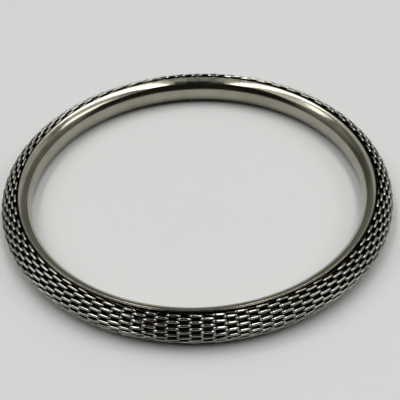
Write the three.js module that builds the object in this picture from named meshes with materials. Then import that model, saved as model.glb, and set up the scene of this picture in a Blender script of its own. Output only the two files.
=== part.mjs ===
// A rigid slip-on bangle. A ring-shaped channel of rolled sheet makes the smooth inner side.
// A sleeve of interlocked wire coils wraps the outer side, round a solid ring core, and the
// channel's two lips hold the ends of the coils. The bangle lies flat: +Z is the axis of the
// ring and z = 0 is the surface that it rests on. Lengths are in millimetres.
import * as THREE from 'three';
import { mergeVertices } from 'three/addons/utils/BufferGeometryUtils.js';

// Ring and tube section
const ringRadius = 35;
const tubeRadius = 3;
const assemblyGap = 0.3;

// Inner channel
const sheetThickness = 0.5;
const wallOffset = 2.8;
const wallFullness = 2.15;
const wallArcDegrees = 116;
const lipTipOffset = 0.35;
const lipLandWidth = 0.25;
const channelSegments = 60;
const outerWallSteps = 8;
const innerWallSteps = 6;

// Ring core
const coreOuterOffset = 1;
const coreInnerOffset = wallOffset - sheetThickness - assemblyGap;
const coreHalfHeight = 0.85;
const coreChamfer = 0.5;
const coreSegments = 40;

// Wire sleeve: every coil is one column of turns, and neighbours are half a turn apart
const coilCount = 120;
const coilsPerGroup = 3;
const turnPitchDegrees = 23.4;
const wireDiameter = 0.55;
const sleeveThickness = 1.65;
const halfTurnsEachSide = 7;
const sleeveEdgeDegrees = 90;
const tuckedEndDegrees = 104;
const tuckedRadius = tubeRadius - sheetThickness - assemblyGap;
const sleeveInnerSteps = 6;
const coilStepDegrees = 0.12;

// A point of the tube section: x is the distance outwards from the ring radius, y is the height
// above the middle of the section.
function sectionPoint(radius, degrees) {
  const angle = THREE.MathUtils.degToRad(degrees);
  return new THREE.Vector2(radius * Math.cos(angle), radius * Math.sin(angle));
}

// Turns a closed section outline into a whole ring about +Z.
function revolveSection(outline, segments) {
  const profile = outline.map((p) => new THREE.Vector2(ringRadius + p.x, tubeRadius + p.y));
  profile.push(profile[0].clone());
  const ring = new THREE.LatheGeometry(profile, segments);
  ring.rotateX(Math.PI / 2);
  ring.deleteAttribute('uv');
  ring.deleteAttribute('normal');
  return withNormals(mergeVertices(ring));
}

function withNormals(geometry) {
  geometry.computeVertexNormals();
  return geometry;
}

// Joins outlines of equal length, each standing at its own angle round the ring, into one solid.
function loftRoundRing(outlines, anglesDegrees) {
  const sides = outlines[0].length;
  const last = outlines.length - 1;
  const positions = [];
  outlines.forEach((outline, station) => {
    const angle = THREE.MathUtils.degToRad(anglesDegrees[station]);
    for (const p of outline) {
      const reach = ringRadius + p.x;
      positions.push(reach * Math.cos(angle), reach * Math.sin(angle), tubeRadius + p.y);
    }
  });

  const faces = [];
  for (let station = 0; station < last; station += 1) {
    for (let i = 0; i < sides; i += 1) {
      const a = station * sides + i;
      const b = station * sides + ((i + 1) % sides);
      faces.push(a, a + sides, b, b, a + sides, b + sides);
    }
  }
  for (const [i, j, k] of THREE.ShapeUtils.triangulateShape(outlines[0], [])) {
    faces.push(i, j, k);
  }
  const base = last * sides;
  for (const [i, j, k] of THREE.ShapeUtils.triangulateShape(outlines[last], [])) {
    faces.push(base + i, base + k, base + j);
  }

  const solid = new THREE.BufferGeometry();
  solid.setAttribute('position', new THREE.Float32BufferAttribute(positions, 3));
  solid.setIndex(faces);
  return withNormals(solid);
}

// The channel's wall in section: an arc of an upright oval that bulges towards the wrist. It runs
// from the upper lip down to the lower one. A fullness of 2 would make the oval an ellipse.
function wallArc(inset, steps) {
  const points = [];
  for (let i = 0; i <= steps; i += 1) {
    const angle = THREE.MathUtils.degToRad(wallArcDegrees * (0.5 - i / steps));
    const across = Math.cos(angle) ** (2 / wallFullness);
    const up = Math.sign(angle) * Math.abs(Math.sin(angle)) ** (2 / wallFullness);
    points.push(new THREE.Vector2((inset - wallOffset) * across, (tubeRadius - inset) * up));
  }
  return points;
}

// The flat land of a lip, from the wall to the tip. side is 1 for the upper lip, -1 for the lower.
function lipLand(inset, side) {
  const height = side * (tubeRadius - inset);
  return [
    new THREE.Vector2(-lipTipOffset - lipLandWidth, height),
    new THREE.Vector2(-lipTipOffset, height),
  ];
}

function channelOutline() {
  const outside = [
    ...lipLand(0, 1).reverse(),
    ...wallArc(0, outerWallSteps),
    ...lipLand(0, -1),
  ];
  const inside = [
    ...lipLand(sheetThickness, 1).reverse(),
    ...wallArc(sheetThickness, innerWallSteps),
    ...lipLand(sheetThickness, -1),
  ];
  return [...outside, ...inside.reverse()];
}

function coreOutline() {
  const chamferedOuter = coreOuterOffset - coreChamfer;
  const chamferedInner = coreChamfer - coreInnerOffset;
  const chamferedHeight = coreHalfHeight - coreChamfer;
  return [
    new THREE.Vector2(coreOuterOffset, -chamferedHeight),
    new THREE.Vector2(coreOuterOffset, chamferedHeight),
    new THREE.Vector2(chamferedOuter, coreHalfHeight),
    new THREE.Vector2(chamferedInner, coreHalfHeight),
    new THREE.Vector2(-coreInnerOffset, chamferedHeight),
    new THREE.Vector2(-coreInnerOffset, -chamferedHeight),
    new THREE.Vector2(chamferedInner, -coreHalfHeight),
    new THREE.Vector2(chamferedOuter, -coreHalfHeight),
  ];
}

// Section of one coil: a ridge for each turn of wire outside, and tucked ends under the lips.
function coilOutline(coil) {
  const innerRadius = tubeRadius - sleeveThickness;
  const grooveRadius = tubeRadius - wireDiameter;
  const outline = [sectionPoint(tuckedRadius, -tuckedEndDegrees)];
  outline.push(sectionPoint(tuckedRadius, -sleeveEdgeDegrees));
  outline.push(sectionPoint(grooveRadius, -sleeveEdgeDegrees));
  for (let i = -halfTurnsEachSide; i <= halfTurnsEachSide; i += 1) {
    const isTurn = (i + coil) % 2 === 0;
    outline.push(sectionPoint(isTurn ? tubeRadius : grooveRadius, (i * turnPitchDegrees) / 2));
  }
  outline.push(sectionPoint(grooveRadius, sleeveEdgeDegrees));
  outline.push(sectionPoint(tuckedRadius, sleeveEdgeDegrees));
  outline.push(sectionPoint(tuckedRadius, tuckedEndDegrees));
  for (let i = 0; i <= sleeveInnerSteps; i += 1) {
    const degrees = tuckedEndDegrees * (1 - (2 * i) / sleeveInnerSteps);
    outline.push(sectionPoint(innerRadius, degrees));
  }
  return outline;
}

// A few neighbouring coils hooked together, as one solid with the turns standing out of it.
function coilGroupGeometry(group) {
  const coilDegrees = 360 / coilCount;
  const firstCoil = group * coilsPerGroup;
  const halfGapDegrees = THREE.MathUtils.radToDeg(assemblyGap / 2 / (ringRadius - tubeRadius / 2));
  const outlines = [];
  const angles = [];
  for (let i = 0; i < coilsPerGroup; i += 1) {
    const start = (firstCoil + i) * coilDegrees;
    const isFirst = i === 0;
    const isLast = i === coilsPerGroup - 1;
    angles.push(start + (isFirst ? halfGapDegrees : coilStepDegrees));
    angles.push(start + coilDegrees - (isLast ? halfGapDegrees : coilStepDegrees));
    outlines.push(coilOutline(firstCoil + i), coilOutline(firstCoil + i));
  }
  return loftRoundRing(outlines, angles);
}

function polishedChannelMetal() {
  return new THREE.MeshStandardMaterial({ color: 0xb8b3a8, metalness: 1, roughness: 0.15 });
}

function wireMetal() {
  return new THREE.MeshStandardMaterial({ color: 0x9c9c9a, metalness: 1, roughness: 0.25 });
}

function coreMetal() {
  return new THREE.MeshStandardMaterial({ color: 0xb08d57, metalness: 1, roughness: 0.5 });
}

function namedMesh(name, geometry, material) {
  const mesh = new THREE.Mesh(geometry, material);
  mesh.name = name;
  return mesh;
}

const bangle = new THREE.Group();
const channelGeometry = revolveSection(channelOutline(), channelSegments);
bangle.add(namedMesh('inner_channel', channelGeometry, polishedChannelMetal()));
bangle.add(namedMesh('ring_core', revolveSection(coreOutline(), coreSegments), coreMetal()));
for (let group = 0; group < coilCount / coilsPerGroup; group += 1) {
  const name = `wire_coils_${String(group + 1).padStart(2, '0')}`;
  bangle.add(namedMesh(name, coilGroupGeometry(group), wireMetal()));
}

export default bangle;
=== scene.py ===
"""Looks of a rigid bangle: a polished channel that holds a sleeve of interlocked wire coils.

Lengths are in metres, and angles in degrees unless a name says otherwise. The ring lies flat on
z = 0 with its axis along +Z. A point of the tube has an azimuth round the ring from +X, a radius
from the middle of the tube, and a tube angle that is 0 outwards and 90 at the top.
"""

import math

import bpy
import numpy as np
from mathutils import Matrix, Vector


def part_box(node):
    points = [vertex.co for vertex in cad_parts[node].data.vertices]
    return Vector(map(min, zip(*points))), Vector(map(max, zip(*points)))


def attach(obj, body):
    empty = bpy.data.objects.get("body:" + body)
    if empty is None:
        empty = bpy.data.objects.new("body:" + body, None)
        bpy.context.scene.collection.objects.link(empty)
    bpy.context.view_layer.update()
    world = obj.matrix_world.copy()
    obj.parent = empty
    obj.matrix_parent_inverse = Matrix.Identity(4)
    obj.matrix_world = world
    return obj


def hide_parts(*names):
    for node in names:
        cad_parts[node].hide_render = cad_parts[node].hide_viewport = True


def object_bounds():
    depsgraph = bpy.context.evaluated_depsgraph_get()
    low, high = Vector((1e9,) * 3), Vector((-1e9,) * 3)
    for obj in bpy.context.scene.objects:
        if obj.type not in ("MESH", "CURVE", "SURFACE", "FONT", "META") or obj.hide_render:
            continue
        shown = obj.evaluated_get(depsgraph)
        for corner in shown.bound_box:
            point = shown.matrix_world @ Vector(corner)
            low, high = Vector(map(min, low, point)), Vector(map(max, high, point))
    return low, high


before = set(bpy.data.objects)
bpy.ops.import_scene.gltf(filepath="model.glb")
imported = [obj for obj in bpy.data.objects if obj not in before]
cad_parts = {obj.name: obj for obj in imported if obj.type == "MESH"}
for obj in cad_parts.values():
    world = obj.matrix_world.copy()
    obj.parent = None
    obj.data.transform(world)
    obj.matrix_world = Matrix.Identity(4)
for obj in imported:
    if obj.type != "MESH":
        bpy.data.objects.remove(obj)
cad_low, cad_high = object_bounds()

MM = 0.001
TUBE_RADIUS = (cad_high.z - cad_low.z) / 2
RING_RADIUS = (cad_high.x - cad_low.x) / 2 - TUBE_RADIUS
TUBE_HEIGHT = (cad_high.z + cad_low.z) / 2

# Inner channel, with its sheet burnished thinner at the lips
WALL_SHEET = 0.5 * MM
LIP_SHEET = 0.26 * MM
WALL_FULLNESS = 2.15
CHANNEL_SEGMENTS = 720
CHANNEL_STEPS = 44
LIP_STEPS = 8

# Ring core
CORE_ROUNDING = 0.5 * MM
CORE_SEGMENTS = 120
CORE_CORNER_STEPS = 5

# Wire: the width of its section lies along the sleeve's surface, and the depth across it
WIRE_HALF_WIDTH = 0.25 * MM
WIRE_HALF_DEPTH = 0.26 * MM
SURFACE_CLEARANCE = 0.02 * MM
WIRE_SIDES = 10
CAP_STEPS = 2

# Turns of a coil: each has a front strand and a bend at each side of it, and a back strand joins
# it to the next. A share is a share of the width of the coil's column.
COILS_PER_GROUP = 3
TURN_PITCH = 23.4
STRAND_HALF_SHARE = 0.39
BEND_SHARE = 0.24
BACK_RADIUS = 1.68 * MM
ADVANCE_HALF_ANGLE = 40
BEND_STEPS = 8
STRAND_STEPS = 4

# One end of a front strand stands out from its middle by this much, and the other lies below it
STRAND_TILT_DROP = 0.045 * MM

# Tube angles: front strands are at the surface up to the first and tucked under a lip from the
# second on, and a coil has none past the third
FULL_STRAND_LIMIT = 91
TUCKED_STRAND_START = 95
LAST_STRAND_LIMIT = 106
TUCKED_RADIUS = 2.2 * MM

# Irregularity of the turns, as standard deviations, and how much of it a coil has
DENT_SPREAD = 0.012 * MM
TILT_SPREAD = 0.25
LENGTH_SPREAD = 0.02
PLAIN_WEAR = 1
JOINT_WEAR = 2.5
SEED = 7

# Where the rows of turns stand round the ring: they climb by one whole pitch in a circuit
DRIFT_AZIMUTHS = (0, 180, 225, 250, 268, 274, 283, 307, 330, 360)
DRIFT_ANGLES = (1.6, -2.5, -2.5, 0, 0.5, 2, 5.5, 11, 18, 25)

# The place on the outside where the sleeve's ends were joined, with worn plating
JOINT_AZIMUTH = 259
JOINT_HALF_WIDTH = 9
JOINT_REACH = 7 * MM

# Noise: a scale is the number of cells in a metre, and a range is the part of the noise over which
# an effect grows from nothing to all of it
NOISE_DETAIL = 3
GRAIN_SCALE = 900
GRAIN_RANGE = (0.3, 0.7)
BUMP_DISTANCE = 0.01 * MM

# Channel metal: the distances are outwards from the middle of the tube, and the streaks are drawn
# out round the ring because a radian counts as only a few millimetres of noise
CHANNEL_PLAIN = (0.39, 0.37, 0.31, 1)
CHANNEL_DULL = (0.33, 0.305, 0.25, 1)
CHANNEL_ROUGHNESS = (0.08, 0.16)
CHANNEL_CLOUD_SCALE = 120
CHANNEL_DULL_RANGE = (0.4, 0.65)
STREAK_ADVANCE = 4 * MM
STREAK_SCALE = 6000
STREAK_DETAIL = 4
STREAK_BUMP = 0.15
# Painted shade, near black, on the lips' edges where they face the sleeve
LIP_EDGE_PAINTED_SHADE = (0.012, 0.011, 0.01, 1)
LIP_EDGE_SHADE_FADE = (-0.64 * MM, -0.56 * MM)
LIP_RUB_FADE = (-1.9 * MM, -1.3 * MM)
LIP_RUB_ROUGHNESS = 0.05

# Wire metal: painted shade, near black, goes over to its bright colour between two distances from
# the middle of the tube
WIRE_BRIGHT = (0.44, 0.43, 0.385, 1)
WIRE_DULL = (0.33, 0.32, 0.275, 1)
# Painted shade for the wire between the turns and on the wires' inner sides
WIRE_PAINTED_SHADE = (0.02, 0.017, 0.014, 1)
WIRE_WORN = (0.22, 0.19, 0.165, 1)
WIRE_ROUGHNESS = (0.04, 0.09)
WIRE_PAINTED_SHADE_FADE = (2.62 * MM, 2.87 * MM)
WIRE_CLOUD_SCALE = 700
WIRE_DULL_RANGE = (0.35, 0.7)
WIRE_WEAR_SCALE = 1500
WIRE_WORN_RANGE = (0.4, 0.65)
WIRE_BUMP_SCALE = 4000
WIRE_BUMP = 0.05

# Core metal
CORE_DARK = (0.05, 0.035, 0.02, 1)
CORE_LIGHT = (0.12, 0.085, 0.04, 1)
CORE_ROUGHNESS = (0.4, 0.6)
CORE_CLOUD_SCALE = 500

# Camera: the lens and the sensor are in millimetres
LENS = 72.18
SENSOR = 36
CAMERA_DISTANCE = 4.5113 * RING_RADIUS
CAMERA_ELEVATION = 40.75
CAMERA_YAW = 0.198
CAMERA_PITCH = -0.998
CAMERA_ROLL = -2.259
CLIP_START = 1 * MM

# Floor and lights
FLOOR_SIZE = 4
FLOOR_PALE = (0.67, 0.678, 0.665, 1)
FLOOR_SHADED = (0.65, 0.658, 0.648, 1)
FLOOR_ROUGHNESS = 0.6
FLOOR_CLOUD_SCALE = 12
LIGHT_HEIGHT = 1.5

# Room: a fade runs between two values of one component of the direction looked in
ROOM_PLAIN = (0.2, 0.215, 0.2, 1)
ROOM_CORNER = (0.095, 0.1, 0.085, 1)
ROOM_SIDES = (0.4, 0.42, 0.385, 1)
ROOM_FRONT = (0.018, 0.018, 0.015, 1)
FRONT_FADE = (-0.05, -0.42)
FRONT_HEIGHT_FADE = (-0.1, 0.15)
SIDES_FADE = (0.5, 0.9)
SIDES_HEIGHT_FADE = (0.25, 0.55)
CORNER_LEFT_FADE = (-0.3, -0.65)
CORNER_BACK_FADE = (0.35, 0.55)

rng = np.random.default_rng(SEED)


# ---------------------------------------------------------------- meshes


def mesh_object(name, points, faces):
    """A smooth-shaded object in the row frame."""
    mesh = bpy.data.meshes.new(name)
    mesh.from_pydata(points.tolist(), [], faces)
    mesh.polygons.foreach_set("use_smooth", [True] * len(mesh.polygons))
    mesh.update()
    made = bpy.data.objects.new(name, mesh)
    bpy.context.scene.collection.objects.link(made)
    return made


def reach(node):
    """Smallest and largest distance of a CAD node from the ring's axis."""
    points = np.array([v.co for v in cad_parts[node].data.vertices])
    distances = np.hypot(points[:, 0], points[:, 1])
    return distances.min(), distances.max()


def revolve(name, outline, segments):
    """A closed section, as (outwards, up) from the middle of the tube, turned round the ring."""
    outline = np.array(outline)
    angles = np.linspace(0, 2 * math.pi, segments, endpoint=False)
    distance = RING_RADIUS + outline[:, 0]
    x = np.outer(np.cos(angles), distance)
    y = np.outer(np.sin(angles), distance)
    z = np.tile(TUBE_HEIGHT + outline[:, 1], (segments, 1))
    points = np.stack([x, y, z], axis=-1).reshape(-1, 3)
    sides = len(outline)
    faces = []
    for i in range(segments):
        here = i * sides
        there = ((i + 1) % segments) * sides
        for j in range(sides):
            k = (j + 1) % sides
            faces.append((here + j, here + k, there + k, there + j))
    return mesh_object(name, points, faces)


def oval_arc(reach_x, reach_z, start, end, steps, fullness=2.0):
    """Points of an upright oval about the middle of the tube; fullness 2 is an ellipse."""
    angles = np.radians(np.linspace(start, end, steps + 1))
    across = np.cos(angles)
    up = np.sin(angles)
    power = 2 / fullness
    x = reach_x * np.sign(across) * np.abs(across) ** power
    z = reach_z * np.sign(up) * np.abs(up) ** power
    return np.stack([x, z], axis=-1)


def rounded_end(first, last, steps):
    """Points between two corners on a half circle, without the corners, turning right."""
    centre = (first + last) / 2
    arm = first - centre
    side = np.array([arm[1], -arm[0]])
    angles = np.linspace(0, math.pi, steps + 1)[1:-1]
    return centre + np.outer(np.cos(angles), arm) + np.outer(np.sin(angles), side)


# ---------------------------------------------------------------- channel and core


def build_channel():
    """Polished sheet round the wrist side of the tube, with a rounded lip at each end."""
    inner, outer = reach("inner_channel")
    wall = RING_RADIUS - inner
    tip = outer - RING_RADIUS - LIP_SHEET / 2
    lip_angle = math.degrees(math.acos(tip / (wall - WALL_SHEET / 2)))
    ends = (lip_angle, 360 - lip_angle)
    outside = oval_arc(wall, TUBE_RADIUS, *ends, CHANNEL_STEPS, WALL_FULLNESS)
    inside = oval_arc(
        wall - WALL_SHEET, TUBE_RADIUS - LIP_SHEET, *reversed(ends), CHANNEL_STEPS, WALL_FULLNESS
    )
    lower_lip = rounded_end(outside[-1], inside[0], LIP_STEPS)
    upper_lip = rounded_end(inside[-1], outside[0], LIP_STEPS)
    outline = np.concatenate([outside, lower_lip, inside, upper_lip])
    channel = revolve("channel", outline, CHANNEL_SEGMENTS)
    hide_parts("inner_channel")
    return channel


def build_core():
    """Solid ring inside the sleeve, a bar with rounded edges."""
    low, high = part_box("ring_core")
    inner, outer = reach("ring_core")
    centre_x = (inner + outer) / 2 - RING_RADIUS
    half_x = (outer - inner) / 2 - CORE_ROUNDING
    half_z = (high.z - low.z) / 2 - CORE_ROUNDING
    outline = []
    # The bar's corners, each with the angle at which its arc starts
    for side_x, side_z, start in ((1, 1, 0), (-1, 1, 90), (-1, -1, 180), (1, -1, 270)):
        corner = np.array([centre_x + side_x * half_x, side_z * half_z])
        arc = oval_arc(CORE_ROUNDING, CORE_ROUNDING, start, start + 90, CORE_CORNER_STEPS)
        outline.extend(corner + arc)
    core = revolve("core", outline, CORE_SEGMENTS)
    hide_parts("ring_core")
    return core


# ---------------------------------------------------------------- wire coils


def strand_radius(tube_angle):
    """Radius of a front strand's centreline: just under the surface, or tucked below a lip."""
    full = TUBE_RADIUS - WIRE_HALF_DEPTH - STRAND_TILT_DROP - SURFACE_CLEARANCE
    limits = (FULL_STRAND_LIMIT, TUCKED_STRAND_START)
    return float(np.interp(abs(tube_angle), limits, (full, TUCKED_RADIUS)))


def bend_path(side, front, half, tilt, tube_angle):
    """The bend on one side (-1 or 1) of a front strand, from the back strand up to its own end.

    The wire moves on towards the next turn only in the middle of the bend. Each point is (share
    of the column from its middle, tube radius, tube angle).
    """
    end = front - side * STRAND_TILT_DROP
    middle = (end + BACK_RADIUS) / 2
    depth = (end - BACK_RADIUS) / 2
    points = []
    for beta in np.linspace(-90, 90, BEND_STEPS + 1):
        turned = np.clip(0.5 + beta / (2 * ADVANCE_HALF_ANGLE), 0, 1)
        eased = turned * turned * (3 - 2 * turned)
        share = side * (half + BEND_SHARE * math.cos(math.radians(beta)))
        radius = middle + depth * math.sin(math.radians(beta))
        angle = tube_angle + side * (1 - eased) * TURN_PITCH / 2 + side * tilt * eased
        points.append((share, radius, angle))
    return points


def turn_path(tube_angle, wear):
    """One turn of a coil, from its back strand round its front strand to its next back strand."""
    front = strand_radius(tube_angle) - abs(rng.normal(0, DENT_SPREAD)) * wear
    tilt = rng.normal(0, TILT_SPREAD) * wear
    half = STRAND_HALF_SHARE * (1 + rng.normal(0, LENGTH_SPREAD) * wear)
    points = bend_path(-1, front, half, tilt, tube_angle)
    for step in range(1, STRAND_STEPS):
        along = 2 * step / STRAND_STEPS - 1
        radius = front - along * STRAND_TILT_DROP
        points.append((along * half, radius, tube_angle + along * tilt))
    points.extend(reversed(bend_path(1, front, half, tilt, tube_angle)))
    return points


def place(shares, radii, tube_angles, azimuth, column_degrees):
    """Centreline points in the row frame, and the direction along the tube's section there."""
    turn = np.radians(azimuth + shares * column_degrees)
    lean = np.radians(tube_angles)
    distance = RING_RADIUS + radii * np.cos(lean)
    points = np.stack(
        [
            distance * np.cos(turn),
            distance * np.sin(turn),
            TUBE_HEIGHT + radii * np.sin(lean),
        ],
        axis=-1,
    )
    round_section = np.stack(
        [-np.sin(lean) * np.cos(turn), -np.sin(lean) * np.sin(turn), np.cos(lean)], axis=-1
    )
    return points, round_section


def wire(points, sideways):
    """Vertices and faces of an oval wire with domed ends, along the centreline points."""
    tangents = np.gradient(points, axis=0)
    tangents /= np.linalg.norm(tangents, axis=1, keepdims=True)
    across = sideways - (sideways * tangents).sum(axis=1, keepdims=True) * tangents
    across /= np.linalg.norm(across, axis=1, keepdims=True)
    other = np.cross(tangents, across)

    # Each ring of vertices is (centre, two directions, share of the full size); the domes add
    # rings at the ends.
    rings = [(points[i], across[i], other[i], 1) for i in range(len(points))]
    for step in range(1, CAP_STEPS + 1):
        angle = math.radians(90 * step / (CAP_STEPS + 1))
        lift = WIRE_HALF_DEPTH * math.sin(angle)
        thin = math.cos(angle)
        rings.insert(0, (points[0] - tangents[0] * lift, across[0], other[0], thin))
        rings.append((points[-1] + tangents[-1] * lift, across[-1], other[-1], thin))

    angles = np.linspace(0, 2 * math.pi, WIRE_SIDES, endpoint=False)
    wide = WIRE_HALF_WIDTH * np.cos(angles)
    deep = WIRE_HALF_DEPTH * np.sin(angles)
    vertices = [
        centre + share * (wide[i] * first + deep[i] * second)
        for centre, first, second, share in rings
        for i in range(WIRE_SIDES)
    ]
    faces = []
    for i in range(len(rings) - 1):
        for j in range(WIRE_SIDES):
            k = (j + 1) % WIRE_SIDES
            here = i * WIRE_SIDES
            there = here + WIRE_SIDES
            faces.append((here + j, here + k, there + k, there + j))
    start_pole = len(vertices)
    vertices.append(points[0] - tangents[0] * WIRE_HALF_DEPTH)
    vertices.append(points[-1] + tangents[-1] * WIRE_HALF_DEPTH)
    last = (len(rings) - 1) * WIRE_SIDES
    for j in range(WIRE_SIDES):
        k = (j + 1) % WIRE_SIDES
        faces.append((start_pole, k, j))
        faces.append((start_pole + 1, last + j, last + k))
    return np.array(vertices), faces


def build_coil(coil, column_degrees):
    """One coil: a flattened spiral that fills a column of the sleeve from lip to lip."""
    azimuth = (coil + 0.5) * column_degrees
    drift = np.interp(azimuth, DRIFT_AZIMUTHS, DRIFT_ANGLES)
    first = drift + (coil % 2) * TURN_PITCH / 2
    lowest = first - math.floor((first + LAST_STRAND_LIMIT) / TURN_PITCH) * TURN_PITCH
    turns = int((LAST_STRAND_LIMIT - lowest) // TURN_PITCH) + 1
    near_joint = abs(azimuth - JOINT_AZIMUTH) < JOINT_HALF_WIDTH
    wear = JOINT_WEAR if near_joint else PLAIN_WEAR
    path = []
    for i in range(turns):
        path.extend(turn_path(lowest + i * TURN_PITCH, wear))
    # The wire is cut half way through its first bend and its last one
    path = np.array(path[BEND_STEPS // 2 : -(BEND_STEPS // 2)])
    points, sideways = place(path[:, 0], path[:, 1], path[:, 2], azimuth, column_degrees)
    return wire(points, sideways)


def build_coils():
    """The sleeve's coils, in the CAD model's groups of neighbours."""
    names = sorted(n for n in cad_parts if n.startswith("wire_coils_"))
    column_degrees = 360 / (COILS_PER_GROUP * len(names))
    made = []
    for group, node in enumerate(names):
        vertices, faces = [], []
        for i in range(COILS_PER_GROUP):
            coil = group * COILS_PER_GROUP + i
            coil_vertices, coil_faces = build_coil(coil, column_degrees)
            base = sum(len(v) for v in vertices)
            vertices.append(coil_vertices)
            faces.extend(tuple(base + index for index in face) for face in coil_faces)
        coils = mesh_object(node.replace("wire_", ""), np.concatenate(vertices), faces)
        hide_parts(node)
        made.append(coils)
    return made


# ---------------------------------------------------------------- materials


def add(tree, kind, inputs=None, **settings):
    """Adds a node, and sets or links its inputs by name or number."""
    node = tree.nodes.new(kind)
    for key, value in settings.items():
        setattr(node, key, value)
    for key, value in (inputs or {}).items():
        if isinstance(value, bpy.types.NodeSocket):
            tree.links.new(value, node.inputs[key])
        else:
            node.inputs[key].default_value = value
    return node


def calculate(tree, operation, *values):
    """The result of a Math node."""
    inputs = dict(enumerate(values))
    return add(tree, "ShaderNodeMath", inputs, operation=operation).outputs[0]


def ease(tree, value, start, end):
    """0 where value is at or before start, 1 from end on, smooth in between."""
    inputs = {"Value": value, "From Min": start, "From Max": end}
    node = add(tree, "ShaderNodeMapRange", inputs, interpolation_type="SMOOTHSTEP")
    return node.outputs["Result"]


def mix_colour(tree, share, first, second):
    """The first colour where share is 0, the second where it is 1.

    A Mix node has sockets for every type of data: these are the numbers of its colour sockets.
    """
    inputs = {0: share, 6: first, 7: second}
    return add(tree, "ShaderNodeMix", inputs, data_type="RGBA").outputs[2]


def noise(tree, vector, scale, detail=NOISE_DETAIL):
    """Cloudy noise between 0 and 1, mostly near 0.5."""
    inputs = {"Vector": vector, "Scale": scale, "Detail": detail}
    return add(tree, "ShaderNodeTexNoise", inputs).outputs["Fac"]


def metal(name):
    """A new metal: the material, its tree, its shader, and the position on the object."""
    material = bpy.data.materials.new(name)
    material.use_nodes = True
    tree = material.node_tree
    tree.nodes.clear()
    output = add(tree, "ShaderNodeOutputMaterial")
    shader = add(tree, "ShaderNodeBsdfPrincipled", {"Metallic": 1.0})
    tree.links.new(shader.outputs[0], output.inputs["Surface"])
    position = add(tree, "ShaderNodeTexCoord").outputs["Object"]
    return material, tree, shader, position


def grained_roughness(tree, position, limits):
    """Roughness that varies in a fine grain between two limits."""
    inputs = {"Value": noise(tree, position, GRAIN_SCALE)}
    inputs["From Min"], inputs["From Max"] = GRAIN_RANGE
    inputs["To Min"], inputs["To Max"] = limits
    return add(tree, "ShaderNodeMapRange", inputs).outputs["Result"]


def ring_azimuth(tree, position):
    """Azimuth round the ring, in radians."""
    parts = add(tree, "ShaderNodeSeparateXYZ", {0: position}).outputs
    return calculate(tree, "ARCTAN2", parts["Y"], parts["X"])


def tube_position(tree, position):
    """The distances outwards and up from the middle of the tube."""
    parts = add(tree, "ShaderNodeSeparateXYZ", {0: position}).outputs
    across = calculate(tree, "MULTIPLY", parts["X"], parts["X"])
    along = calculate(tree, "MULTIPLY", parts["Y"], parts["Y"])
    distance = calculate(tree, "SQRT", calculate(tree, "ADD", across, along))
    outwards = calculate(tree, "SUBTRACT", distance, RING_RADIUS)
    up = calculate(tree, "SUBTRACT", parts["Z"], TUBE_HEIGHT)
    return outwards, up


def tube_distance(tree, outwards, up):
    """Distance from the middle line of the tube."""
    squares = [calculate(tree, "MULTIPLY", value, value) for value in (outwards, up)]
    return calculate(tree, "SQRT", calculate(tree, "ADD", *squares))


def bump(tree, shader, height, strength):
    """Gives a shader a very shallow relief."""
    inputs = {"Height": height, "Strength": strength, "Distance": BUMP_DISTANCE}
    node = add(tree, "ShaderNodeBump", inputs)
    tree.links.new(node.outputs["Normal"], shader.inputs["Normal"])


def channel_metal():
    """Warm grey plated metal with duller patches, polished round the ring and rubbed at the lips.

    The edges of the lips, which face the sleeve, carry painted shade, near black.
    """
    material, tree, shader, position = metal("channel_metal")
    azimuth = ring_azimuth(tree, position)
    outwards, up = tube_position(tree, position)
    advance = calculate(tree, "MULTIPLY", azimuth, STREAK_ADVANCE)
    inputs = {"X": advance, "Y": outwards, "Z": up}
    stretched = add(tree, "ShaderNodeCombineXYZ", inputs).outputs[0]
    streaks = noise(tree, stretched, STREAK_SCALE, STREAK_DETAIL)
    bump(tree, shader, streaks, STREAK_BUMP)

    clouds = noise(tree, position, CHANNEL_CLOUD_SCALE)
    dullness = ease(tree, clouds, *CHANNEL_DULL_RANGE)
    polished = mix_colour(tree, dullness, CHANNEL_PLAIN, CHANNEL_DULL)
    # Painted shade: the lips' edges go near black next to the sleeve
    edge_shade = ease(tree, outwards, *LIP_EDGE_SHADE_FADE)
    colour = mix_colour(tree, edge_shade, polished, LIP_EDGE_PAINTED_SHADE)
    tree.links.new(colour, shader.inputs["Base Color"])

    polish = grained_roughness(tree, position, CHANNEL_ROUGHNESS)
    lip = ease(tree, outwards, *LIP_RUB_FADE)
    rubbed = calculate(tree, "MULTIPLY", lip, LIP_RUB_ROUGHNESS)
    roughness = calculate(tree, "ADD", polish, rubbed)
    tree.links.new(roughness, shader.inputs["Roughness"])
    return material


def joint_zone(tree, position):
    """1 on the outside of the sleeve where its ends were joined, fading to 0 round it."""
    turn = math.radians(JOINT_AZIMUTH)
    centre = (RING_RADIUS + TUBE_RADIUS) * Vector((math.cos(turn), math.sin(turn), 0))
    inputs = {0: position, 1: centre + Vector((0, 0, TUBE_HEIGHT))}
    distance = add(tree, "ShaderNodeVectorMath", inputs, operation="DISTANCE").outputs["Value"]
    return ease(tree, distance, JOINT_REACH, JOINT_REACH / 2)


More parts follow.
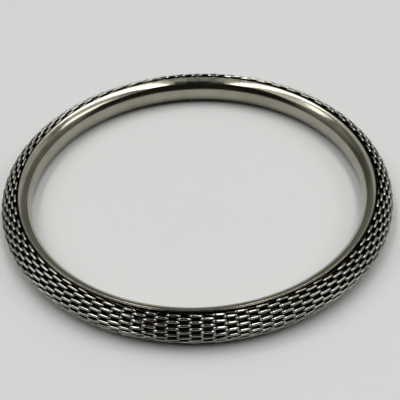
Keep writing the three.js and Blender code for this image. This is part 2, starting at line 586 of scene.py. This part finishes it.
def wire_metal():
    """Bright wire, brown at the joint, with painted shade, near black, deeper in the sleeve."""
    material, tree, shader, position = metal("wire_metal")
    clouds = noise(tree, position, WIRE_CLOUD_SCALE)
    dullness = ease(tree, clouds, *WIRE_DULL_RANGE)
    bright = mix_colour(tree, dullness, WIRE_BRIGHT, WIRE_DULL)
    patches = noise(tree, position, WIRE_WEAR_SCALE)
    wear = calculate(tree, "MULTIPLY", joint_zone(tree, position), patches)
    worn = ease(tree, wear, *WIRE_WORN_RANGE)
    surface = mix_colour(tree, worn, bright, WIRE_WORN)
    outwards, up = tube_position(tree, position)
    # Painted shade: near black between the turns and on the wires' inner sides
    beyond_painted_shade = ease(tree, tube_distance(tree, outwards, up), *WIRE_PAINTED_SHADE_FADE)
    colour = mix_colour(tree, beyond_painted_shade, WIRE_PAINTED_SHADE, surface)
    tree.links.new(colour, shader.inputs["Base Color"])
    roughness = grained_roughness(tree, position, WIRE_ROUGHNESS)
    tree.links.new(roughness, shader.inputs["Roughness"])
    bump(tree, shader, noise(tree, position, WIRE_BUMP_SCALE), WIRE_BUMP)
    return material


def core_metal():
    """Dark brown metal inside the sleeve, in clouds of darker and lighter brown."""
    material, tree, shader, position = metal("core_metal")
    clouds = noise(tree, position, CORE_CLOUD_SCALE)
    colour = mix_colour(tree, clouds, CORE_DARK, CORE_LIGHT)
    tree.links.new(colour, shader.inputs["Base Color"])
    roughness = grained_roughness(tree, position, CORE_ROUGHNESS)
    tree.links.new(roughness, shader.inputs["Roughness"])
    return material


# ---------------------------------------------------------------- stage


def build_floor():
    """Plain pale floor."""
    half = FLOOR_SIZE / 2
    corners = np.array([(-half, -half, 0), (half, -half, 0), (half, half, 0), (-half, half, 0)])
    floor = mesh_object("floor", corners, [(0, 1, 2, 3)])
    material = bpy.data.materials.new("floor")
    material.use_nodes = True
    tree = material.node_tree
    shader = tree.nodes["Principled BSDF"]
    shader.inputs["Roughness"].default_value = FLOOR_ROUGHNESS
    position = add(tree, "ShaderNodeTexCoord").outputs["Object"]
    clouds = noise(tree, position, FLOOR_CLOUD_SCALE)
    colour = mix_colour(tree, clouds, FLOOR_PALE, FLOOR_SHADED)
    tree.links.new(colour, shader.inputs["Base Color"])
    floor.data.materials.append(material)


def panel_light(name, centre, size, turn, radiance):
    """A soft panel that faces down. Its centre and size are shares of the light height."""
    data = bpy.data.lights.new(name, "AREA")
    data.shape = "RECTANGLE"
    data.size = size[0] * LIGHT_HEIGHT
    data.size_y = size[1] * LIGHT_HEIGHT
    data.energy = radiance * math.pi * data.size * data.size_y
    light = bpy.data.objects.new(name, data)
    light.location = (centre[0] * LIGHT_HEIGHT, centre[1] * LIGHT_HEIGHT, LIGHT_HEIGHT)
    light.rotation_euler.z = math.radians(turn)
    bpy.context.scene.collection.objects.link(light)


def build_lights():
    """Two bright strips overhead, closer together at the back, and dimmer panels round them."""
    panel_light("strip_left", centre=(-0.325, 0.05), size=(0.19, 1.3), turn=-10.5, radiance=5.0)
    panel_light("strip_right", centre=(0.26, 0.05), size=(0.22, 1.3), turn=6, radiance=5.0)
    panel_light("patch_right", centre=(1.1, -0.02), size=(0.65, 0.75), turn=0, radiance=2.5)
    panel_light("band_left", centre=(-0.88, 0.27), size=(0.75, 0.28), turn=25, radiance=2.6)
    panel_light("glow_left", centre=(-0.97, -0.15), size=(0.95, 0.7), turn=0, radiance=0.9)
    panel_light("glow_right", centre=(0.5, 0.1), size=(0.3, 0.7), turn=0, radiance=0.6)
    panel_light("glow_right_front", centre=(0.85, -0.55), size=(0.6, 0.3), turn=0, radiance=0.6)
    panel_light("glow_back", centre=(0.35, 1.1), size=(1.8, 0.9), turn=0, radiance=0.42)


def build_world():
    """A dim room: dark on the camera's side from about the horizon up, lighter high at the sides.

    The corner at the back on the left is dimmer than the rest.
    """
    world = bpy.data.worlds.new("room")
    bpy.context.scene.world = world
    world.use_nodes = True
    tree = world.node_tree
    direction = add(tree, "ShaderNodeTexCoord").outputs["Generated"]
    parts = add(tree, "ShaderNodeSeparateXYZ", {0: direction}).outputs
    x, y, z = (parts[axis] for axis in "XYZ")

    towards = ease(tree, y, *FRONT_FADE)
    front = calculate(tree, "MULTIPLY", towards, ease(tree, z, *FRONT_HEIGHT_FADE))
    sideways = ease(tree, calculate(tree, "ABSOLUTE", x), *SIDES_FADE)
    sides = calculate(tree, "MULTIPLY", sideways, ease(tree, z, *SIDES_HEIGHT_FADE))
    leftwards = ease(tree, x, *CORNER_LEFT_FADE)
    corner = calculate(tree, "MULTIPLY", leftwards, ease(tree, y, *CORNER_BACK_FADE))

    colour = mix_colour(tree, corner, ROOM_PLAIN, ROOM_CORNER)
    colour = mix_colour(tree, sides, colour, ROOM_SIDES)
    colour = mix_colour(tree, front, colour, ROOM_FRONT)
    tree.links.new(colour, tree.nodes["Background"].inputs["Color"])


def build_camera():
    """Camera in front of the ring, looking down at about its middle."""
    elevation = math.radians(CAMERA_ELEVATION)
    away = Vector((0, -math.cos(elevation), math.sin(elevation)))
    forward = -away
    right = forward.cross((0, 0, 1)).normalized()
    above = right.cross(forward)
    yaw = math.radians(CAMERA_YAW)
    pitch = math.radians(CAMERA_PITCH)
    roll = math.radians(CAMERA_ROLL)
    aim = forward * math.cos(yaw) * math.cos(pitch)
    aim += right * math.sin(yaw) * math.cos(pitch) + above * math.sin(pitch)
    aim.normalize()
    level_x = aim.cross(above).normalized()
    level_y = level_x.cross(aim)
    axis_x = level_x * math.cos(roll) + level_y * math.sin(roll)
    axis_y = level_y * math.cos(roll) - level_x * math.sin(roll)
    data = bpy.data.cameras.new("camera")
    data.lens = LENS
    data.sensor_width = SENSOR
    data.clip_start = CLIP_START
    camera = bpy.data.objects.new("camera", data)
    turn = Matrix((axis_x, axis_y, -aim)).transposed().to_4x4()
    position = away * CAMERA_DISTANCE + Vector((0, 0, TUBE_HEIGHT))
    camera.matrix_world = Matrix.Translation(position) @ turn
    bpy.context.scene.collection.objects.link(camera)
    bpy.context.scene.camera = camera


# ---------------------------------------------------------------- the whole

channel = build_channel()
channel.data.materials.append(channel_metal())
core = build_core()
core.data.materials.append(core_metal())
coils = build_coils()
coil_material = wire_metal()
for piece in coils:
    piece.data.materials.append(coil_material)
for piece in [channel, core, *coils]:
    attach(piece, "root")

build_floor()
build_lights()
build_world()
build_camera()
bpy.context.scene.view_settings.view_transform = "Standard"
